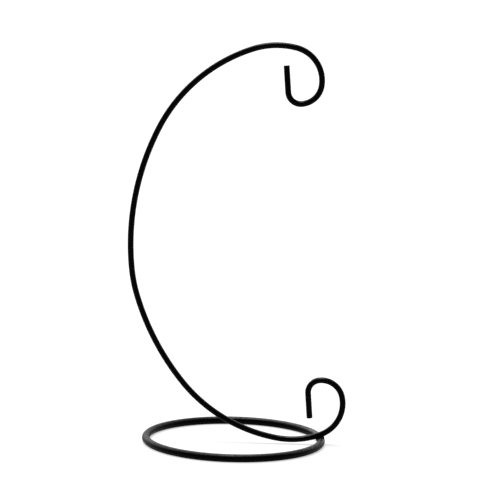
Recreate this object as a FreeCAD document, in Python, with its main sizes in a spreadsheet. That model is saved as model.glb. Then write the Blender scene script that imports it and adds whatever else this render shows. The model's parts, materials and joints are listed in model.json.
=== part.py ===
import FreeCAD, Part
import itertools
import math
import os

import Sketcher

# Wire stand that holds one hanging ornament.
# A single bent wire, the hanger, rises in a big C from a flat ring of heavier wire. It ends in a hook at the
# top and in a matching curl at the foot. The ring is rolled from one length of wire, and a butt weld closes it.
# The hanger is set down a little way into that weld, and a weld bead on each side holds it to the ring.
# Lengths are millimetres, angles are degrees and +Z is up. The origin is the ring's centre on the table,
# the hanger stands in the XZ plane, and +X points to the weld.

LENGTHS = {
    "ring_mean_diameter": 100.0,
    "ring_wire_diameter": 4.5,
    "hanger_wire_diameter": 3.4,
    "hook_tail_length": 15.0,
    "curl_tail_length": 14.5,
    "eye_radius": 7.0,
    "coil_radius": 12.0,
    "turn_radius": 19.0,
    "crown_radius": 44.0,
    "flank_radius": 90.0,
    "back_radius": 145.0,
    "waist_radius": 80.0,
    "foot_radius": 48.0,
    "foot_clearance": 1.0,
    "weld_set_down": 0.4,
    "cut_edge_bevel": 0.3,
}

ANGLES = {
    "hook_eye_angle": 88.0,
    "hook_coil_angle": 80.0,
    "hook_turn_angle": 83.5,
    "crown_angle": 32.5,
    "upper_flank_angle": 45.0,
    "upper_back_angle": 32.5,
    "waist_angle": 10.5,
    "lower_back_angle": 22.5,
    "lower_flank_angle": 41.0,
    "foot_aft_angle": 9.5,
    "foot_fore_angle": 21.0,
    "curl_turn_angle": 84.0,
    "curl_coil_angle": 83.0,
    "curl_eye_angle": 87.0,
    "bead_root_angle": 52.0,
}

# The welds follow the wires they join. The gap that the butt weld fills and the length of a bead are shares of
# the hanger wire's diameter, so the hanger is set down into weld metal alone. A bead's bulge and its depth are
# shares of the ring wire's radius, and the bevel of its ends is a share of its bulge.
SHARES = {
    "butt_gap_share": 0.7,
    "bead_bulge_share": 0.38,
    "bead_depth_share": 0.06,
    "bead_length_share": 1.25,
    "bead_end_share": 0.48,
}

# Bends of the hanger and the radius of each, away from its lowest point: back up to the hook, and forward
# to the curl. Each bend's angle goes by its name. The hook and the curl are wound on the same three formers.
BENDS_TO_HOOK = {
    "foot_aft": "foot_radius",
    "lower_flank": "flank_radius",
    "lower_back": "back_radius",
    "waist": "waist_radius",
    "upper_back": "back_radius",
    "upper_flank": "flank_radius",
    "crown": "crown_radius",
    "hook_turn": "turn_radius",
    "hook_coil": "coil_radius",
    "hook_eye": "eye_radius",
}
BENDS_TO_CURL = {
    "foot_fore": "foot_radius",
    "curl_turn": "turn_radius",
    "curl_coil": "coil_radius",
    "curl_eye": "eye_radius",
}

# Sizes that follow from the driving ones, as formulas on the sheet's cells.
RING_RADIUS = "Sizes.ring_mean_diameter / 2"
RING_WIRE_RADIUS = "Sizes.ring_wire_diameter / 2"
HANGER_WIRE_RADIUS = "Sizes.hanger_wire_diameter / 2"
BEAD_BULGE = f"Sizes.bead_bulge_share * {RING_WIRE_RADIUS}"
BUTT_GAP = "Sizes.butt_gap_share * Sizes.hanger_wire_diameter"
BUTT_ANGLE = f"{BUTT_GAP} / (Sizes.ring_mean_diameter * pi) * 360"

# The foot bend is seated on the ring's wire: its centre is one foot radius and both wire radii, less the set
# down, from the middle of the ring's wire. Its lowest point clears the table, and its slope at the seat follows.
FOOT_HEIGHT = f"(Sizes.foot_clearance + {HANGER_WIRE_RADIUS})"
SEAT_SPAN = f"(Sizes.foot_radius + {RING_WIRE_RADIUS} + {HANGER_WIRE_RADIUS} - Sizes.weld_set_down)"
SEAT_RISE = f"({FOOT_HEIGHT} + Sizes.foot_radius - {RING_WIRE_RADIUS})"
SEAT_SLOPE = f"acos({SEAT_RISE} / {SEAT_SPAN})"
FOOT_PLACE = f"({RING_RADIUS} - sqrt({SEAT_SPAN} ^ 2 - {SEAT_RISE} ^ 2))"


def size_sheet(doc):
    """The driving sizes, one row each: the name in column A and the number, with that alias, in column B."""
    sheet = doc.addObject("Spreadsheet::Sheet", "Sizes")
    for row, (name, value) in enumerate({**LENGTHS, **ANGLES, **SHARES}.items(), start=1):
        sheet.set(f"A{row}", name)
        sheet.set(f"B{row}", str(value))
        sheet.setAlias(f"B{row}", name)
    doc.recompute()
    return sheet


def new_body(doc, label):
    body = doc.addObject("PartDesign::Body", label)
    body.Label = label
    return body


def sketch_on(body, role, name):
    """An empty sketch on one of the body's own origin planes."""
    plane = next(feature for feature in body.Origin.OriginFeatures if feature.Role == role)
    sketch = body.newObject("Sketcher::SketchObject", name)
    sketch.AttachmentSupport = [(plane, "")]
    sketch.MapMode = "FlatFace"
    return sketch


def worked_out(sketch, formula):
    """The number that a formula on the sheet gives now."""
    return FreeCAD.Units.Quantity(sketch.evalExpression(formula)).Value


def dimension(sketch, name, formula, *constraint):
    """A sketch dimension that follows a formula on the sheet."""
    value = worked_out(sketch, formula)
    if constraint[0] == "Angle":
        value = math.radians(value)
    index = sketch.addConstraint(Sketcher.Constraint(*constraint, value))
    sketch.renameConstraint(index, name)
    sketch.setExpression(f"Constraints.{name}", formula)


def circle(centre, radius):
    return Part.Circle(centre, FreeCAD.Vector(0, 0, 1), radius)


def wire_section(sketch, across, up, radius):
    """A round wire's section with its centre at formulas measured from the sketch's origin."""
    centre = FreeCAD.Vector(worked_out(sketch, across), worked_out(sketch, up), 0)
    sketch.addGeometry(circle(centre, worked_out(sketch, radius)))
    dimension(sketch, "across", across, "DistanceX", 0, 3)
    dimension(sketch, "up", up, "DistanceY", 0, 3)
    dimension(sketch, "wire_radius", radius, "Radius", 0)


def ring_stretch(doc, label, across, angle):
    """A stretch of the ring's wire, centred on the XZ plane and turned about the stand's upright axis."""
    body = new_body(doc, label)
    section = sketch_on(body, "XZ_Plane", f"{label}_section")
    wire_section(section, across, RING_WIRE_RADIUS, RING_WIRE_RADIUS)
    turned = body.newObject("PartDesign::Revolution", f"{label}_turned")
    turned.Profile = section
    turned.ReferenceAxis = (section, ["V_Axis"])
    turned.Midplane = True
    turned.setExpression("Angle", angle)
    return body


def bend_arcs(bends, direction, lowest, size):
    """Tangent arcs that lead away from the hanger's lowest point, and the point and heading they end at."""
    point = lowest
    heading = 0
    arcs = []
    for bend, radius_name in bends.items():
        radius = size(radius_name)
        centre = point + FreeCAD.Vector(-math.sin(heading), math.cos(heading), 0) * radius
        end_heading = heading + direction * math.radians(size(f"{bend}_angle"))
        spoke_angles = sorted(angle - math.pi / 2 for angle in (heading, end_heading))
        arcs.append(Part.ArcOfCircle(circle(centre, radius), *spoke_angles))
        heading = end_heading
        point = centre + FreeCAD.Vector(math.sin(heading), -math.cos(heading), 0) * radius
    return arcs, point, FreeCAD.Vector(math.cos(heading), math.sin(heading), 0)


def hanger_path(body, sheet):
    """Centre line of the hanger, from the hook's cut end to the curl's, held at its lowest point."""

    def size(name):
        return float(sheet.get(name))

    path = sketch_on(body, "XZ_Plane", "hanger_path")
    lowest = FreeCAD.Vector(worked_out(path, FOOT_PLACE), worked_out(path, FOOT_HEIGHT), 0)
    to_hook, hook_end, hook_heading = bend_arcs(BENDS_TO_HOOK, -1, lowest, size)
    to_curl, curl_end, curl_heading = bend_arcs(BENDS_TO_CURL, 1, lowest, size)
    hook_tail = Part.LineSegment(hook_end - hook_heading * size("hook_tail_length"), hook_end)
    curl_tail = Part.LineSegment(curl_end, curl_end + curl_heading * size("curl_tail_length"))
    path.addGeometry([hook_tail, *reversed(to_hook), *to_curl, curl_tail])

    last = path.GeometryCount - 1
    lowest_arc = len(to_hook) + 1
    for edge, following in itertools.pairwise(range(path.GeometryCount)):
        path.addConstraint(Sketcher.Constraint("Tangent", edge, 2, following, 1))
    path.addConstraint(Sketcher.Constraint("Vertical", lowest_arc, 3, lowest_arc, 1))
    dimension(path, "lowest_across", FOOT_PLACE, "DistanceX", lowest_arc, 1)
    dimension(path, "lowest_up", FOOT_HEIGHT, "DistanceY", lowest_arc, 1)
    dimension(path, "hook_tail", "Sizes.hook_tail_length", "Distance", 0)
    dimension(path, "curl_tail", "Sizes.curl_tail_length", "Distance", last)
    bends = (*reversed(BENDS_TO_HOOK.items()), *BENDS_TO_CURL.items())
    for edge, (bend, radius_name) in enumerate(bends, start=1):
        dimension(path, f"{bend}_radius", f"Sizes.{radius_name}", "Radius", edge)
        dimension(path, f"{bend}_angle", f"Sizes.{bend}_angle", "Angle", edge)
    return path


def bevel_ends(body, feature, size):
    """Takes the edges off a feature's flat end faces."""
    ends = [face for face in feature.Shape.Faces if isinstance(face.Surface, Part.Plane)]
    rims = [
        f"Edge{number}"
        for number, edge in enumerate(feature.Shape.Edges, start=1)
        if any(edge.isSame(rim) for end in ends for rim in end.Edges)
    ]
    bevelled = body.newObject("PartDesign::Chamfer", f"{feature.Name}_bevelled")
    bevelled.Base = (feature, rims)
    bevelled.setExpression("Size", size)


def hanger_wire(doc, sheet):
    """The hanger: a round section swept along its bends, with the edges of both cut ends taken off."""
    body = new_body(doc, "hanger_wire")
    path = hanger_path(body, sheet)
    section = body.newObject("Sketcher::SketchObject", "hanger_section")
    section.AttachmentSupport = [(path, "Edge1")]
    section.MapMode = "NormalToEdge"
    doc.recompute()
    wire_section(section, "0", "0", HANGER_WIRE_RADIUS)
    swept = body.newObject("PartDesign::AdditivePipe", "hanger_swept")
    swept.Profile = section
    swept.Spine = path
    doc.recompute()
    bevel_ends(body, swept, "Sizes.cut_edge_bevel")
    return body


def ring_envelope(doc):
    """The whole ring's outer surface, with no gap, which the weld beads lie on."""
    envelope = doc.addObject("Part::Torus", "ring_envelope")
    envelope.setExpression("Radius1", RING_RADIUS)
    envelope.setExpression("Radius2", RING_WIRE_RADIUS)
    facing_away = "rotation(vector(0; 0; 1); 180 deg)"
    envelope.setExpression("Placement", f"placement(vector(0; 0; {RING_WIRE_RADIUS}); {facing_away})")
    return envelope


def cut_back(doc, label, blank, *neighbours):
    """What is left of a blank when the pieces that it lies against are cut out of it."""
    for neighbour in neighbours:
        cut = doc.addObject("Part::Cut", f"{label}_clear_of_{neighbour.Name}")
        cut.Base = blank
        cut.Tool = neighbour
        blank = cut
    blank.Label = label
    return blank


def weld_bead(doc, label, root, facing, hanger, envelope):
    """A short run of weld metal along the ring's wire, cut back to what lies outside both wires."""
    blank = new_body(doc, f"{label}_blank")
    section = sketch_on(blank, "XZ_Plane", f"{label}_section")
    wire_section(section, "0", "0", BEAD_BULGE)
    run = blank.newObject("PartDesign::Pad", f"{label}_run")
    run.Profile = section
    run.Midplane = True
    run.setExpression("Length", "Sizes.bead_length_share * Sizes.hanger_wire_diameter")
    doc.recompute()
    bevel_ends(blank, run, f"Sizes.bead_end_share * {BEAD_BULGE}")

    reach = f"(1 - Sizes.bead_depth_share) * {RING_WIRE_RADIUS}"
    across = f"{RING_RADIUS} + {reach} * sin({root})"
    up = f"{RING_WIRE_RADIUS} + {reach} * cos({root})"
    aim = f"rotation(vector(0; 1; 0); {root} + {facing})"
    blank.setExpression("Placement", f"placement(vector({across}; 0; {up}); {aim})")
    return cut_back(doc, label, blank, hanger, envelope)


def check(doc, pieces):
    """Stops the build if any object failed or a piece isn't one sound solid."""
    failed = [item.Label for item in doc.Objects if {"Invalid", "Error"} & set(item.State)]
    if failed:
        raise RuntimeError(f"failed objects: {failed}")
    for piece in pieces:
        shape = piece.Shape
        if shape.isNull() or not shape.isValid() or len(shape.Solids) != 1:
            raise RuntimeError(f"{piece.Label} isn't one sound solid")


def main():
    doc = FreeCAD.newDocument("ornament_stand")
    sheet = size_sheet(doc)
    ring = ring_stretch(doc, "base_ring", f"-{RING_RADIUS}", f"360 - {BUTT_ANGLE}")
    hanger = hanger_wire(doc, sheet)
    ring_closure = ring_stretch(doc, "ring_closure", RING_RADIUS, BUTT_ANGLE)
    butt_weld = cut_back(doc, "ring_butt_weld", ring_closure, hanger)
    envelope = ring_envelope(doc)
    bead_sides = {
        "weld_bead_inner": (f"-Sizes.bead_root_angle * 1 deg - {SEAT_SLOPE}", "180 deg"),
        "weld_bead_outer": (f"Sizes.bead_root_angle * 1 deg - {SEAT_SLOPE}", "0 deg"),
    }
    beads = [weld_bead(doc, label, *side, hanger, envelope) for label, side in bead_sides.items()]
    pieces = [hanger, ring, butt_weld, *beads]
    doc.recompute()
    check(doc, pieces)

    os.makedirs("parts", exist_ok=True)
    for piece in pieces:
        piece.Shape.exportStep(f"parts/{piece.Label}.step")
        print(piece.Label, f"{piece.Shape.Volume:.3f} mm3")


main()
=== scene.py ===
# %% [markdown]
# # A wire stand for one hanging ornament
# The stand is two black wires and the welds that join them. A heavy wire is rolled into a flat ring, and a lighter
# one is bent into a big C with a hook at the top and a curl at the foot. The CAD model gives every size. This lesson
# gives the stand its looks: meshes that are bent, rolled and welded in the order of the real work, and a satin black
# powder coat over all of them.

# %% Load the CAD frame
import json
import math

import bmesh
import bpy
from mathutils import Matrix, Vector


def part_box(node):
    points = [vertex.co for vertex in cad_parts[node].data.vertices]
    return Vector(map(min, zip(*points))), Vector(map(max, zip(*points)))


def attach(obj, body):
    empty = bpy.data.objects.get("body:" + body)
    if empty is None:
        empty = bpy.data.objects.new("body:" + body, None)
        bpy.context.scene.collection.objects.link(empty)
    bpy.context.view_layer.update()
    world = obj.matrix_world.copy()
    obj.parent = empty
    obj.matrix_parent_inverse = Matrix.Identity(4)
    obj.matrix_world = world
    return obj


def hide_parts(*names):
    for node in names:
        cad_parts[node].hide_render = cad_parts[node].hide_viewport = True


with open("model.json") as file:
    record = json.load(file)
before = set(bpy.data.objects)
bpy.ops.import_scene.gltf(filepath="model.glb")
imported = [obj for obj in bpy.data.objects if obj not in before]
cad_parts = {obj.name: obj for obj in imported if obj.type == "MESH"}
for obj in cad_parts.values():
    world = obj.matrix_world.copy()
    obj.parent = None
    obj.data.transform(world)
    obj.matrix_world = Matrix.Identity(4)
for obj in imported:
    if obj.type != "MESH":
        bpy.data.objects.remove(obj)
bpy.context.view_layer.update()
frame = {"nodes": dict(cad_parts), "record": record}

print("CAD nodes:", ", ".join(sorted(frame["nodes"])))

# %% [markdown]
# ## Sizes of the two wires
# Blender works in metres here, and a wire bender thinks in millimetres, so MM turns one into the other. The ring's
# sizes are read from the CAD ring. The hanger's come from its hook tail, which the record lists as a mount, and the
# hanger starts at the cut end of that tail.

# %% Read the sizes from the frame
MM = 0.001
CUT_EDGE = 0.3 * MM
ring_low, ring_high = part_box("base_ring")
RING_WIRE_RADIUS = (ring_high.z - ring_low.z) / 2
RING_RADIUS = (ring_high.y - ring_low.y) / 2 - RING_WIRE_RADIUS

hook_tail = next(mount for mount in frame["record"]["mounts"] if mount["name"] == "hook_tail")
HANGER_WIRE_RADIUS = hook_tail["dims"]["r_mm"] * MM
tail_axis = Vector(hook_tail["axis"])
half_tail = hook_tail["dims"]["length_mm"] * MM / 2
hook_cut_end = Vector(hook_tail["pos_m"]) + tail_axis * (half_tail + CUT_EDGE)
print(f"ring {2 * RING_RADIUS / MM:.2f} mm across, of {2 * RING_WIRE_RADIUS / MM:.2f} mm wire")
print(f"hanger of {2 * HANGER_WIRE_RADIUS / MM:.2f} mm wire, cut at", [round(x / MM, 2) for x in hook_cut_end])

# %% [markdown]
# ## The hanger's bends
# On the real stand, one straight length of wire is wound on round formers, so its centre line is a chain of arcs
# that all turn the same way. It could be drawn as a Bezier curve with a bevel, but arcs of a known radius are what
# a bender makes. Each bend is listed with the radius of its centre line and the angle that the wire turns through.

# %% List the bends from the hook to the curl, in millimetres and degrees
HOOK_TAIL = 15.0 * MM
CURL_TAIL = 14.5 * MM
HANGER_BENDS = {
    "hook_eye": (7.0, 88.0),
    "hook_coil": (12.0, 80.0),
    "hook_turn": (19.0, 83.5),
    "crown": (44.0, 32.5),
    "upper_flank": (90.0, 45.0),
    "upper_back": (145.0, 32.5),
    "waist": (80.0, 10.5),
    "lower_back": (145.0, 22.5),
    "lower_flank": (90.0, 41.0),
    "foot_aft": (48.0, 9.5),
    "foot_fore": (48.0, 21.0),
    "curl_turn": (19.0, 84.0),
    "curl_coil": (12.0, 83.0),
    "curl_eye": (7.0, 87.0),
}
print("all bends together turn", sum(angle for _, angle in HANGER_BENDS.values()), "degrees")

# %% [markdown]
# ## Starting a wire
# A wire could start as a long cylinder, but that is hard to bend evenly. A bare circle across the wire's direction
# can be drawn out and bent in one go. Its place is applied at once, so that the object stays at the origin and the
# place is in the mesh. Everything else is deselected first, because an operator acts on all that is selected, and
# the CAD nodes come in selected.

# %% Start the hanger as a circle
def start_wire(name, radius, sides, centre, along):
    """A circle across a wire's direction, left selected in edit mode."""
    bpy.ops.object.select_all(action="DESELECT")
    turned = along.to_track_quat("Z", "Y").to_euler()
    bpy.ops.mesh.primitive_circle_add(vertices=sides, radius=radius, location=centre, rotation=turned)
    bpy.ops.object.transform_apply(location=True, rotation=True, scale=True)
    piece = bpy.context.object
    piece.name = name
    bpy.ops.object.mode_set(mode="EDIT")
    bpy.ops.mesh.select_all(action="SELECT")
    return piece


WIRE_SIDES = 32
hanger = start_wire("bent_hanger", HANGER_WIRE_RADIUS, WIRE_SIDES, hook_cut_end, tail_axis)
print("started", hanger.name, "with", WIRE_SIDES, "sides")

# %% [markdown]
# ## Bending the hanger
# The tail is extruded straight, and then each bend is one spin of the open end about the centre of its former. Spin
# leaves the new end selected, so the bends follow one another just as the wire runs through the bender. Short steps
# keep every facet under four degrees of turn and two millimetres of wire.

# %% Extrude a straight run, or spin a bend
LONGEST_STEP = 2.0 * MM
WIDEST_STEP = math.radians(4.0)
BENDING_AXIS = Vector((0, 1, 0))
TO_FORMER = Matrix.Rotation(-math.pi / 2, 3, BENDING_AXIS)


def run_straight(way):
    bpy.ops.mesh.extrude_region_move(TRANSFORM_OT_translate={"value": way})


def bend(point, heading, radius, angle):
    """Winds the open end on a former, and gives the former's centre and the new point and heading."""
    centre = point + TO_FORMER @ heading * radius
    steps = math.ceil(max(angle / WIDEST_STEP, angle * radius / LONGEST_STEP))
    bpy.ops.mesh.spin(steps=steps, angle=angle, center=centre, axis=BENDING_AXIS)
    turn = Matrix.Rotation(-angle, 3, BENDING_AXIS)
    return centre, centre + turn @ (point - centre), turn @ heading


print("the widest step of a bend is", math.degrees(WIDEST_STEP), "degrees")

# %% Bend the hanger from the hook to the curl
heading = -tail_axis
run_straight(heading * HOOK_TAIL)
point = hook_cut_end + heading * HOOK_TAIL
former_centres = {}
for name, (radius, angle) in HANGER_BENDS.items():
    former_centres[name], point, heading = bend(point, heading, radius * MM, math.radians(angle))
run_straight(heading * CURL_TAIL)
curl_cut_end = point + heading * CURL_TAIL
print("the curl's tail ends at", [round(x / MM, 2) for x in curl_cut_end], "mm")

# %% [markdown]
# ## Closing the cut ends
# A cut wire has a flat end with its sharp rim taken off, and the powder rounds it further. One many-sided face could
# close the end, but it shades unevenly, so grid fill closes it with even four-sided faces. Region to loop turns these
# into their rim, and bevel rounds it. The edges to fill are selected in code: they are the open edges that lie on the
# plane of the cut.

# %% Cap an open end and round its rim
NEAR = 0.05 * MM
GRID_SIDES = 4
RIM_STEPS = 4


def cap_end(piece, centre, along):
    """Closes the open end that lies across a direction at a point, and leaves the cap selected."""
    bpy.ops.mesh.select_all(action="DESELECT")
    mesh = bmesh.from_edit_mesh(piece.data)
    rim = [edge for edge in mesh.edges if edge.is_boundary]
    for edge in rim:
        edge.select_set(all(abs((corner.co - centre).dot(along)) < NEAR for corner in edge.verts))
    bmesh.update_edit_mesh(piece.data)
    bpy.ops.mesh.fill_grid(span=sum(edge.select for edge in rim) // GRID_SIDES)


def round_rim(size):
    """Rounds the rim of the selected cap."""
    bpy.ops.mesh.region_to_loop()
    bpy.ops.mesh.bevel(offset=size, segments=RIM_STEPS, affect="EDGES")


for cut_end, along in ((hook_cut_end, tail_axis), (curl_cut_end, heading)):
    cap_end(hanger, cut_end, along)
    round_rim(CUT_EDGE)
print("both ends of the hanger are closed")

# %% [markdown]
# ## Finishing a mesh
# A spin can leave a tube inside out, so the normals are recalculated to point outwards. More facets would make the
# wire rounder, but smooth shading does the same with fewer. It leaves alone the edges that are much sharper than the
# steps between facets.

# %% Turn the faces outwards and smooth the shading
SHARP_EDGE = math.radians(40)


def finish_mesh(piece):
    bpy.ops.mesh.select_all(action="SELECT")
    bpy.ops.mesh.normals_make_consistent(inside=False)
    bpy.ops.object.mode_set(mode="OBJECT")
    bpy.ops.object.shade_smooth_by_angle(angle=SHARP_EDGE)
    print(piece.name, "has", len(piece.data.polygons), "faces")


finish_mesh(hanger)

# %% [markdown]
# ## Rolling the ring
# The ring is one length of heavier wire, rolled round until its two ends almost meet. A torus primitive would make
# it in one step, but it would have no ends for the butt weld to join. One spin of a circle makes the same tube with
# the gap in its place, on the side where the hanger sits.

# %% Find the places along the ring
BUTT_GAP_SHARE = 0.7
butt_angle = BUTT_GAP_SHARE * 2 * HANGER_WIRE_RADIUS / RING_RADIUS
ring_ends = (-butt_angle / 2, butt_angle / 2)


def ring_place(angle):
    """The middle of the ring's wire, at an angle from the weld."""
    return Vector((RING_RADIUS * math.cos(angle), RING_RADIUS * math.sin(angle), RING_WIRE_RADIUS))


def ring_way(angle):
    """The way that the ring's wire runs, at an angle from the weld."""
    return Vector((-math.sin(angle), math.cos(angle), 0))


print("the gap for the butt weld is", round(math.degrees(butt_angle), 2), "degrees of the ring")

# %% Roll the ring and close its ends
RING_STEPS = 180
STAND_AXIS = Vector((0, 0, 1))
STAND_CENTRE = (0, 0, 0)
first_end, last_end = ring_ends
ring = start_wire("rolled_ring", RING_WIRE_RADIUS, WIRE_SIDES, ring_place(first_end), ring_way(first_end))
bpy.ops.mesh.spin(steps=RING_STEPS, angle=2 * math.pi - butt_angle, center=STAND_CENTRE, axis=STAND_AXIS)
for angle in ring_ends:
    cap_end(ring, ring_place(angle), ring_way(angle))
finish_mesh(ring)

# %% [markdown]
# ## The butt weld in the ring
# The two ends are pressed together and welded, which leaves a low swelling that is dressed almost flush. The hanger
# crosses right over it and was pressed four tenths of a millimetre into the hot metal. A ball set into the gap would
# bulge below the table. So the weld is spun in short steps across the gap, and after each step the open end is
# resized about its lowest point: the section grows to the middle and shrinks again, and stays on the table.

# %% Spin the butt weld across the gap
SEAM_STEPS = 8
SEAM_SWELL_SHARE = 0.02
TO_TABLE = Vector((0, 0, -RING_WIRE_RADIUS))


def resize(factor, centre):
    bpy.ops.transform.resize(value=(factor, factor, factor), center_override=centre)


def seam_section(step):
    """The weld's section next to the wire's, at a step across the gap."""
    return 1 + SEAM_SWELL_SHARE * math.sin(math.pi * step / SEAM_STEPS)


seam = start_wire("seam_weld", RING_WIRE_RADIUS, WIRE_SIDES, ring_place(last_end), ring_way(last_end))
for step in range(SEAM_STEPS):
    bpy.ops.mesh.spin(steps=1, angle=butt_angle / SEAM_STEPS, center=STAND_CENTRE, axis=STAND_AXIS)
    reached = last_end - butt_angle * (step + 1) / SEAM_STEPS
    resize(seam_section(step + 1) / seam_section(step), ring_place(reached) + TO_TABLE)
for angle in ring_ends:
    cap_end(seam, ring_place(angle), ring_way(angle))
finish_mesh(seam)

# %% [markdown]
# ## The weld beads
# The hanger lies on the ring, and a short bead fills the wedge on each side of the touching line. A welder leaves a
# bead as a row of overlapping ripples with rounded ends. A boolean of spheres could give that, but rings are tidier:
# a small circle is extruded along the bead and resized at each step, by a curve with round ends and shallow ripples.

# %% Find where the beads lie
BEAD_BULGE = 0.38 * RING_WIRE_RADIUS
BEAD_DEPTH = 0.06 * RING_WIRE_RADIUS
BEAD_LENGTH = 2.5 * HANGER_WIRE_RADIUS
BEAD_ROOT_ANGLE = math.radians(52)
INNER, OUTER = -1, 1
ring_middle = ring_place(0)
seat_way = (former_centres["foot_fore"] - ring_middle).normalized()


def bead_middle(side):
    """The middle of the bead on the ring's inner or outer side."""
    out = Matrix.Rotation(side * BEAD_ROOT_ANGLE, 3, BENDING_AXIS) @ seat_way
    return ring_middle + out * (RING_WIRE_RADIUS - BEAD_DEPTH)


seat = ring_middle + seat_way * RING_WIRE_RADIUS
print("the hanger sits on the ring at", [round(x / MM, 2) for x in seat], "mm")

# %% Shape the ripples of a bead
BEAD_RIPPLES = 6
RINGS_PER_RIPPLE = 6
RIPPLE_DEPTH_SHARE = 0.09
END_FULLNESS = 4
END_INSET_SHARE = 0.25


def bead_radius(share):
    """The bead's radius at a share of its length."""
    rounded_ends = math.sqrt(1 - (2 * share - 1) ** END_FULLNESS)
    ripple = abs(math.sin(math.pi * BEAD_RIPPLES * share))
    return BEAD_BULGE * rounded_ends * (1 - RIPPLE_DEPTH_SHARE * (1 - ripple))


# The first and last rings lie a share of one step inside the bead's tips, where the radius isn't yet zero.
bead_rings = BEAD_RIPPLES * RINGS_PER_RIPPLE
bead_steps = bead_rings - 1 + 2 * END_INSET_SHARE
bead_shares = [(number + END_INSET_SHARE) / bead_steps for number in range(bead_rings)]
bead_radii = [bead_radius(share) for share in bead_shares]
print("a bead is", round(2 * max(bead_radii) / MM, 2), "mm thick and", round(BEAD_LENGTH / MM, 2), "mm long")

# %% Lay the inner bead
BEAD_SIDES = 20
BEAD_WAY = ring_way(0)
places = [bead_middle(INNER) + BEAD_WAY * BEAD_LENGTH * (share - 0.5) for share in bead_shares]
inner_bead = start_wire("inner_bead", bead_radii[0], BEAD_SIDES, places[0], BEAD_WAY)
for number in range(1, bead_rings):
    run_straight(places[number] - places[number - 1])
    resize(bead_radii[number] / bead_radii[number - 1], places[number])
for place in (places[0], places[-1]):
    cap_end(inner_bead, place, BEAD_WAY)
finish_mesh(inner_bead)

# %% [markdown]
# ## The second bead
# The outer bead is laid in the same way as the inner one. It could be built by the same steps, but a copy with a mesh
# of its own is quicker and surely the same. A bead is round, so the copy needs no turning. It is moved in edit mode,
# which puts the new place in the mesh.

# %% Copy the bead to the outer side
to_outer_side = bead_middle(OUTER) - bead_middle(INNER)
bpy.ops.object.select_all(action="DESELECT")
inner_bead.select_set(True)
bpy.context.view_layer.objects.active = inner_bead
bpy.ops.object.duplicate()
outer_bead = bpy.context.object
outer_bead.name = "outer_bead"
bpy.ops.object.mode_set(mode="EDIT")
bpy.ops.mesh.select_all(action="SELECT")
bpy.ops.transform.translate(value=to_outer_side)
bpy.ops.object.mode_set(mode="OBJECT")
print("the beads are", round(to_outer_side.length / MM, 2), "mm apart")

# %% [markdown]
# ## Building node trees
# The coat's look is made by nodes, which are added and wired by hand in the shader editor. In a script, each node
# would take a line for every socket, so a helper adds one node and sets its properties. Then it links each input that
# is given another node's socket, and sets each one that is given a number or a colour.

# %% Add a node
def add_node(tree, kind, inputs=None, **settings):
    node = tree.nodes.new(kind)
    for name, value in settings.items():
        setattr(node, name, value)
    for name, value in (inputs or {}).items():
        if isinstance(value, bpy.types.NodeSocket):
            tree.links.new(value, node.inputs[name])
        else:
            node.inputs[name].default_value = value
    return node


print("node helper ready")

# %% [markdown]
# ## The skin of the powder coat
# Powder paint is sprayed on dry and melted in an oven. It flows almost level and leaves a soft orange peel about a
# millimetre across, with a finer grain on top. The paint is full on the peel's tops and lean in its hollows, and it
# lies thicker in some places than in others. A painted picture could show that, but the wires would have to be
# unwrapped for it, and noise on their own coordinates needs no unwrapping. All the wires and welds share this skin,
# so it is a node group that gives a height, a roughness, a tone and a body, and each material sets how coarse its
# peel is.

# %% Build the powder coat group
GRAIN_SCALE = 5200.0
DRIFT_SCALE = 38.0
PEEL_DETAIL = 2.0
PLAIN_DETAIL = 1.0
GRAIN_HEIGHT_SHARE = 0.22
NOISE_LOW, NOISE_HIGH = 0.3, 0.7
LEAN_ROUGHNESS, FULL_ROUGHNESS = 0.46, 0.34
DRIFT_BODY = (0.85, 1.0)
PEEL_BODY = (0.3, 1.3)


def powder_coat_group():
    group = bpy.data.node_groups.new("powder_coat_skin", "ShaderNodeTree")
    group.interface.new_socket("Place", in_out="INPUT", socket_type="NodeSocketVector")
    group.interface.new_socket("Peel Scale", in_out="INPUT", socket_type="NodeSocketFloat")
    for name in ("Height", "Roughness", "Tone", "Body"):
        group.interface.new_socket(name, in_out="OUTPUT", socket_type="NodeSocketFloat")
    given = group.nodes.new("NodeGroupInput").outputs

    def noise(scale, detail):
        place_and_size = {"Vector": given["Place"], "Scale": scale, "Detail": detail}
        return add_node(group, "ShaderNodeTexNoise", place_and_size).outputs["Fac"]

    def spread(value, low, high):
        """Noise keeps near the middle of its range, so the part that it uses is spread between two values."""
        ends = {"From Min": NOISE_LOW, "From Max": NOISE_HIGH, "To Min": low, "To Max": high}
        return add_node(group, "ShaderNodeMapRange", {"Value": value, **ends}).outputs[0]

    peel = noise(given["Peel Scale"], PEEL_DETAIL)
    grain = noise(GRAIN_SCALE, PLAIN_DETAIL)
    drift = noise(DRIFT_SCALE, PLAIN_DETAIL)
    bumps = {0: grain, 1: GRAIN_HEIGHT_SHARE, 2: peel}
    height = add_node(group, "ShaderNodeMath", bumps, operation="MULTIPLY_ADD")
    layers = {0: spread(drift, *DRIFT_BODY), 1: spread(peel, *PEEL_BODY)}
    body = add_node(group, "ShaderNodeMath", layers, operation="MULTIPLY")
    made = {
        "Height": height.outputs[0],
        "Roughness": spread(drift, LEAN_ROUGHNESS, FULL_ROUGHNESS),
        "Tone": spread(grain, 0.0, 1.0),
        "Body": body.outputs[0],
    }
    add_node(group, "NodeGroupOutput", made)
    return group


powder_coat = powder_coat_group()
print("group", powder_coat.name, "has", [item.name for item in powder_coat.interface.items_tree])

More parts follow.
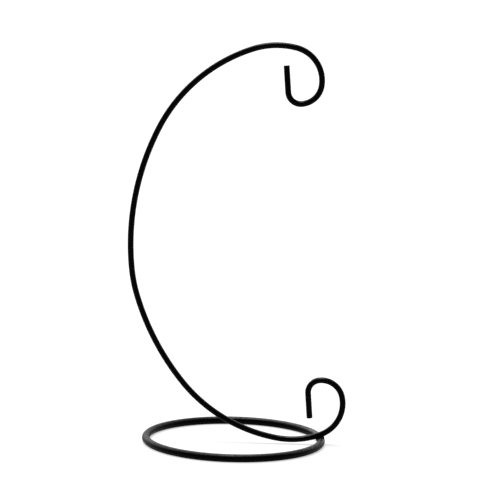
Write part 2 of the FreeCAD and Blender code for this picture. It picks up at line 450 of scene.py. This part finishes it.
# %% [markdown]
# ## Coats for the wires and the welds
# The coat is a black that swallows almost all light, so what shows is its shine. The shine on the upper sides is
# painted: the Principled shader's Coat weight follows how far the surface faces up, a painted sheen for the light
# that falls on the tops, and the undersides stay dull. One even gloss would shine as much below as above. The weight
# also follows how full the skin's body is there, and it is painted stronger towards the weld than on the other side
# of the stand, a painted sheen for the light from that side. The hanger's coat is smooth. The ring's and the welds'
# are rougher and more mottled.

# %% Build a coat from the skin
DULL_BLACK = (0.001, 0.001, 0.0011, 1)
FULL_BLACK = (0.0022, 0.0022, 0.0024, 1)
DULL_SHINE = 0.03


def coat_material(name, peel_scale, peel_height, painted_top_sheen_rise, gloss_and_painted_weld_sheen, shine_roughness):
    """A powder coat whose painted top sheen sets in at the normal's first rise and is full at its second.

    Its full weight is painted from its first value, across the stand from the weld, to its second, at the weld.
    """
    material = bpy.data.materials.new(name)
    material.use_nodes = True
    tree = material.node_tree
    piece = add_node(tree, "ShaderNodeTexCoord").outputs
    skin_of = {"Place": piece["Object"], "Peel Scale": peel_scale}
    skin = add_node(tree, "ShaderNodeGroup", skin_of, node_tree=powder_coat).outputs

    blacks = {"Factor": skin["Tone"], "A": DULL_BLACK, "B": FULL_BLACK}
    shade = add_node(tree, "ShaderNodeMix", blacks, data_type="RGBA").outputs["Result"]
    peel = {"Height": skin["Height"], "Distance": peel_height}
    bump = add_node(tree, "ShaderNodeBump", peel).outputs["Normal"]
    # Painted sheen: the coat weight is ramped up towards the weld side, standing in for stronger light on that side.
    across = add_node(tree, "ShaderNodeSeparateXYZ", {"Vector": piece["Object"]}).outputs["X"]
    painted_weld_sheen_ramp = {"From Min": -RING_RADIUS, "From Max": RING_RADIUS, "To Min": gloss_and_painted_weld_sheen[0], "To Max": gloss_and_painted_weld_sheen[1]}
    painted_weld_sheen_weight = add_node(tree, "ShaderNodeMapRange", {"Value": across, **painted_weld_sheen_ramp}).outputs[0]
    # Painted sheen: the coat weight grows as the surface faces up, standing in for the light that falls on the tops.
    rise = add_node(tree, "ShaderNodeSeparateXYZ", {"Vector": piece["Normal"]}).outputs["Z"]
    painted_top_sheen_ramp = {"Value": rise, "From Min": painted_top_sheen_rise[0], "From Max": painted_top_sheen_rise[1], "To Max": painted_weld_sheen_weight}
    top = add_node(tree, "ShaderNodeMapRange", painted_top_sheen_ramp, interpolation_type="SMOOTHSTEP").outputs[0]
    mottled_painted_sheen_weight = add_node(tree, "ShaderNodeMath", {0: top, 1: skin["Body"]}, operation="MULTIPLY").outputs[0]

    surface = tree.nodes["Principled BSDF"].inputs
    feeds = {"Base Color": shade, "Roughness": skin["Roughness"], "Coat Weight": mottled_painted_sheen_weight, "Normal": bump}
    for socket_name, source in feeds.items():
        tree.links.new(source, surface[socket_name])
    surface["Specular IOR Level"].default_value = DULL_SHINE
    surface["Coat Roughness"].default_value = shine_roughness
    return material


print("the dull coat's blacks are", DULL_BLACK[:3], "to", FULL_BLACK[:3])

# %% Make the three coats
# Each coat's first pair sets where its painted top sheen rises, the next its painted sheen's weight away from the
# weld and at it.
SMOOTH_COAT = {"painted_top_sheen_rise": (0.05, 0.5), "gloss_and_painted_weld_sheen": (0.4, 0.46), "shine_roughness": 0.2}
ROUGH_COAT = {"painted_top_sheen_rise": (0.3, 0.85), "gloss_and_painted_weld_sheen": (0.38, 0.9), "shine_roughness": 0.4}
WIRE_PEEL_SCALE = 850.0
WELD_PEEL_SCALE = 1500.0
hanger_coat = coat_material("hanger_coat", WIRE_PEEL_SCALE, peel_height=0.06 * MM, **SMOOTH_COAT)
ring_coat = coat_material("ring_coat", WIRE_PEEL_SCALE, peel_height=0.15 * MM, **ROUGH_COAT)
weld_coat = coat_material("weld_coat", WELD_PEEL_SCALE, peel_height=0.12 * MM, **ROUGH_COAT)
print("coats:", ", ".join(coat.name for coat in (hanger_coat, ring_coat, weld_coat)))

# %% [markdown]
# ## Putting the pieces in the CAD's place
# The CAD solids could be shown in these coats, but their beads have no ripples and their cut ends no round rims. So
# each mesh stands for one CAD node, which is hidden and stays for collisions. The mesh rides on the stand's only body
# and takes its coat.

# %% Dress the pieces
def dress(piece, material, node):
    piece.data.materials.append(material)
    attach(piece, "root")
    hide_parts(node)
    print(piece.name, "stands for", node)


dress(hanger, hanger_coat, "hanger_wire")
dress(ring, ring_coat, "base_ring")
dress(seam, weld_coat, "ring_butt_weld")
dress(inner_bead, weld_coat, "weld_bead_inner")
dress(outer_bead, weld_coat, "weld_bead_outer")

# %% [markdown]
# ## The white floor
# The stand is shown on white paper that runs back out of sight. Paper that only reflects the light would come out
# pale grey, so part of its white is its own, for what the camera sees and for what the coat mirrors. The rest is
# lit, and so it keeps the stand's faint shadow.

# %% Tell what is seen from what only lights
def larger(tree, first, second):
    return add_node(tree, "ShaderNodeMath", {0: first, 1: second}, operation="MAXIMUM").outputs[0]


def seen_directly(tree):
    """1 for what the camera sees, straight, mirrored or through glass, and 0 for light that falls on things."""
    path = add_node(tree, "ShaderNodeLightPath").outputs
    in_gloss_or_glass = larger(tree, path["Is Glossy Ray"], path["Is Transmission Ray"])
    return larger(tree, path["Is Camera Ray"], in_gloss_or_glass)


print("light path helper ready")

# %% Lay the floor
FLOOR_SIZE = 60.0
PAPER_WHITE = 0.6
OWN_WHITE = 0.62
bpy.ops.object.select_all(action="DESELECT")
bpy.ops.mesh.primitive_plane_add(size=FLOOR_SIZE)
floor = bpy.context.object
floor.name = "floor"
paper = bpy.data.materials.new("white_paper")
paper.use_nodes = True
tree = paper.node_tree
tree.nodes.clear()
lit = add_node(tree, "ShaderNodeBsdfDiffuse", {"Color": (PAPER_WHITE, PAPER_WHITE, PAPER_WHITE, 1)})
own = add_node(tree, "ShaderNodeMath", {0: seen_directly(tree), 1: OWN_WHITE}, operation="MULTIPLY")
glow = add_node(tree, "ShaderNodeEmission", {"Strength": own.outputs[0]})
both = add_node(tree, "ShaderNodeAddShader", {0: lit.outputs[0], 1: glow.outputs[0]})
add_node(tree, "ShaderNodeOutputMaterial", {"Surface": both.outputs[0]})
floor.data.materials.append(paper)
print("floor of", FLOOR_SIZE, "m laid")

# %% [markdown]
# ## The light
# White paper stands behind and round the stand, and the room behind the camera is unlit, so the wires stay black from
# the front. One soft lamp hangs straight above, which is why the shadow lies close under the wires. A wider one
# stands behind on the left and gives the upper sides their grey shine. Area lamps could do that too, but they need a
# size and a distance. A softbox that is large next to the stand lights it like a sun with a wide angle, so both lamps
# are suns.

# %% Set up the white studio
AMBIENT = 0.15
DARK_ROOM = 0.03
ROOM_EDGE = -0.2
BACKDROP_EDGE = 0.4
world = bpy.data.worlds.new("white_studio")
bpy.context.scene.world = world
world.use_nodes = True
tree = world.node_tree
tree.nodes.clear()
level = add_node(tree, "ShaderNodeMapRange", {"Value": seen_directly(tree), "To Min": AMBIENT, "To Max": 1.0})
direction = add_node(tree, "ShaderNodeTexCoord").outputs["Generated"]
depth = add_node(tree, "ShaderNodeSeparateXYZ", {"Vector": direction}).outputs["Y"]
fall = {"Value": depth, "From Min": ROOM_EDGE, "From Max": BACKDROP_EDGE, "To Min": DARK_ROOM, "To Max": 1.0}
room = add_node(tree, "ShaderNodeMapRange", fall, interpolation_type="SMOOTHSTEP")
around = add_node(tree, "ShaderNodeMath", {0: level.outputs[0], 1: room.outputs[0]}, operation="MULTIPLY")
camera_ray = add_node(tree, "ShaderNodeLightPath").outputs["Is Camera Ray"]
strength = larger(tree, around.outputs[0], camera_ray)
sky = add_node(tree, "ShaderNodeBackground", {"Color": (1, 1, 1, 1), "Strength": strength})
add_node(tree, "ShaderNodeOutputWorld", {"Surface": sky.outputs[0]})
print("the room behind the camera has", DARK_ROOM, "of the backdrop's white")

# %% Hang the two softboxes
def hang_softbox(name, forward, sideways, level, width):
    """A soft lamp that leans from the zenith by two angles; level 1 alone would show white paper as white."""
    bpy.ops.object.light_add(type="SUN", rotation=(math.radians(forward), math.radians(sideways), 0))
    softbox = bpy.context.object
    softbox.name = name
    softbox.data.energy = level * math.pi
    softbox.data.angle = math.radians(width)
    print(name, "is", width, "degrees wide")


hang_softbox("overhead_softbox", forward=0, sideways=-3, level=0.55, width=30)
hang_softbox("back_softbox", forward=-36, sideways=-28, level=0.38, width=66)

# %% [markdown]
# ## The camera
# The picture is taken from straight in front, a little above the stand, so that the ring shows as a flat oval. A
# short lens close by would make the ring's near side much larger than its far side, so the lens is long and the
# camera stands well back. The standard view shows each colour as it is written.

# %% Place the camera
CAMERA_PLACE = Vector((6.706, -1318.015, 294.374)) * MM
CAMERA_DIP = math.radians(7.9105)
CAMERA_ROLL = math.radians(1.471)
LENS = 169.54
SENSOR_WIDTH = 36
bpy.ops.object.camera_add(location=CAMERA_PLACE)
camera = bpy.context.object
camera.rotation_mode = "ZYX"
camera.rotation_euler = (math.pi / 2 - CAMERA_DIP, 0, CAMERA_ROLL)
camera.data.lens = LENS
camera.data.sensor_width = SENSOR_WIDTH
bpy.context.scene.camera = camera
bpy.context.scene.view_settings.view_transform = "Standard"
print("the camera stands", round(CAMERA_PLACE.length, 2), "m away")
